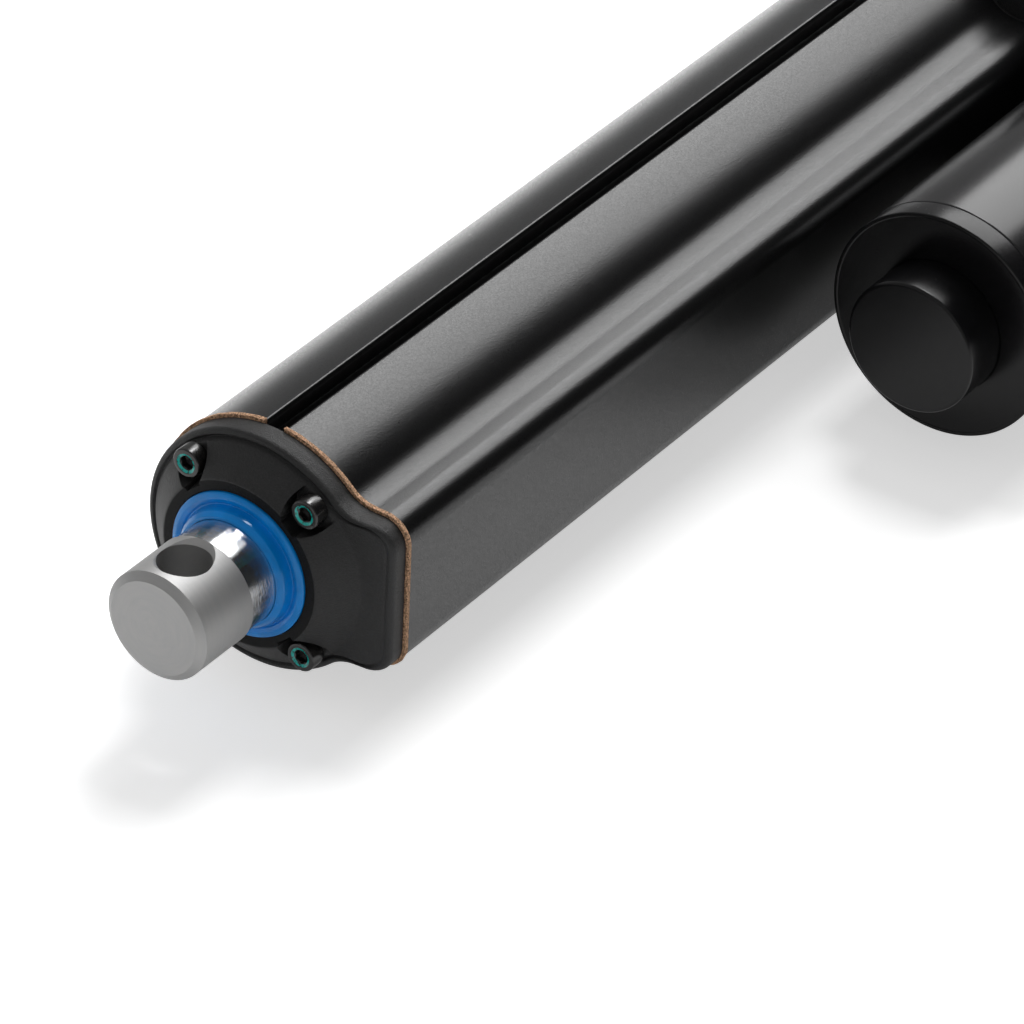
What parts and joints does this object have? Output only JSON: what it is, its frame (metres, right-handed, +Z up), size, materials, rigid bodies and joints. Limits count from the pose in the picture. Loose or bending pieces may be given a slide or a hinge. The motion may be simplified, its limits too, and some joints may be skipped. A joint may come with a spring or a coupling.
{
  "type": "electric linear actuator",
  "caption": "Electric linear actuator: extruded tube with a sliding rod and cross-drilled rod end, parallel motor, geared rear housing with a mounting eye.",
  "frame": {"origin": "centre of the rear mounting eye, on the rod's axis", "axes": "+X along the rod towards its free end; +Y from the rod towards the motor; +Z up, along the pins of both eyes, to the side of the slot"},
  "size_m": [0.384, 0.132, 0.064],
  "materials": {
    "anodised_tube": "black, fine-grained satin anodised",
    "painted_casting": "dark grey-black, finely textured paint",
    "gasket_fibre": "brown cork and rubber sheet",
    "wiper_blue": "glossy blue polyurethane",
    "black_rubber": "matt",
    "black_screws": "black oxide, satin",
    "polished_rod": "polished, hard chromed",
    "turned_steel": "fine turned satin",
    "machined_steel": "machined",
    "bronze": "machined bronze",
    "pale_plastic": "natural acetal",
    "motor_paint": "smooth black, satin",
    "motor_cap_plastic": "black, smooth",
    "ferrite": "matt dark grey",
    "laminated_steel": "dull",
    "copper": "enamelled copper",
    "board_green": "satin solder mask",
    "black_plastic": "matt",
    "contact_metal": "plated"
  },
  "bodies": {
    "housing": {"profile_tube": "anodised_tube", "front_gasket": "gasket_fibre", "rear_gasket": "gasket_fibre", "front_cover": "painted_casting", "front_cover_screws": "black_screws", "rod_guide_bush": "bronze", "rod_seal": "black_rubber", "rod_wiper": "wiper_blue", "gear_housing_front": "painted_casting", "gear_housing_rear": "painted_casting", "rear_eye_bush": "machined_steel", "housing_gasket": "gasket_fibre", "housing_screws": "black_screws", "rear_tube_screws": "black_screws", "bearing_circlip": "machined_steel", "screw_bearing_outer": "machined_steel", "screw_bearing_balls": "machined_steel", "idler_axle": "machined_steel", "motor_drive_bearing": "machined_steel", "motor_tube": "motor_paint", "motor_magnets": "ferrite", "brush_holder": "black_plastic", "brushes": "ferrite", "motor_cap_bush": "bronze", "motor_end_cap": "motor_cap_plastic", "motor_seal": "black_rubber", "motor_cap_plug": "motor_cap_plastic", "motor_bolts": "black_screws", "sensor_board": "board_green", "limit_sensors": "black_plastic", "power_socket": "black_plastic", "socket_contacts": "contact_metal"},
    "rod": {"push_tube": "polished_rod", "rod_end": "turned_steel", "drive_nut": "bronze", "guide_ring": "pale_plastic", "guide_ring_clip": "machined_steel", "sensor_magnets": "ferrite"},
    "screw": {"lead_screw": "machined_steel", "gear_key": "machined_steel", "output_gear": "machined_steel", "screw_lock_nut": "machined_steel", "gear_spacer": "machined_steel", "screw_bearing_inner": "machined_steel", "tip_guide": "pale_plastic", "tip_guide_clip": "machined_steel"},
    "idler": {"idler_gear": "machined_steel", "idler_pinion": "machined_steel"},
    "armature": {"armature_shaft": "machined_steel", "armature_core": "laminated_steel", "armature_windings": "copper", "commutator": "copper", "motor_pinion": "machined_steel"}
  },
  "joints": [
    {"name": "armature_spin", "type": "hinge", "parent": "housing", "child": "armature", "pos_m": [0.12, 0.068, 0], "axis": [-1, 0, 0], "range_deg": [0, 57375]},
    {"name": "idler_spin", "type": "hinge", "parent": "housing", "child": "idler", "pos_m": [0.05, 0.035, 0], "axis": [-1, 0, 0], "range_deg": [-16875, 0]},
    {"name": "screw_spin", "type": "hinge", "parent": "housing", "child": "screw", "pos_m": [0.12, 0, 0], "axis": [-1, 0, 0], "range_deg": [0, 6750]},
    {"name": "rod_slide", "type": "slide", "parent": "housing", "child": "rod", "axis": [1, 0, 0], "range_m": [0, 0.15]}
  ],
  "couplings": [
    {"joint": "idler_spin", "follows": "armature_spin", "ratio": -0.29412},
    {"joint": "screw_spin", "follows": "armature_spin", "ratio": 0.11765},
    {"joint": "rod_slide", "follows": "armature_spin", "m_per_rad": 0.00014979}
  ]
}
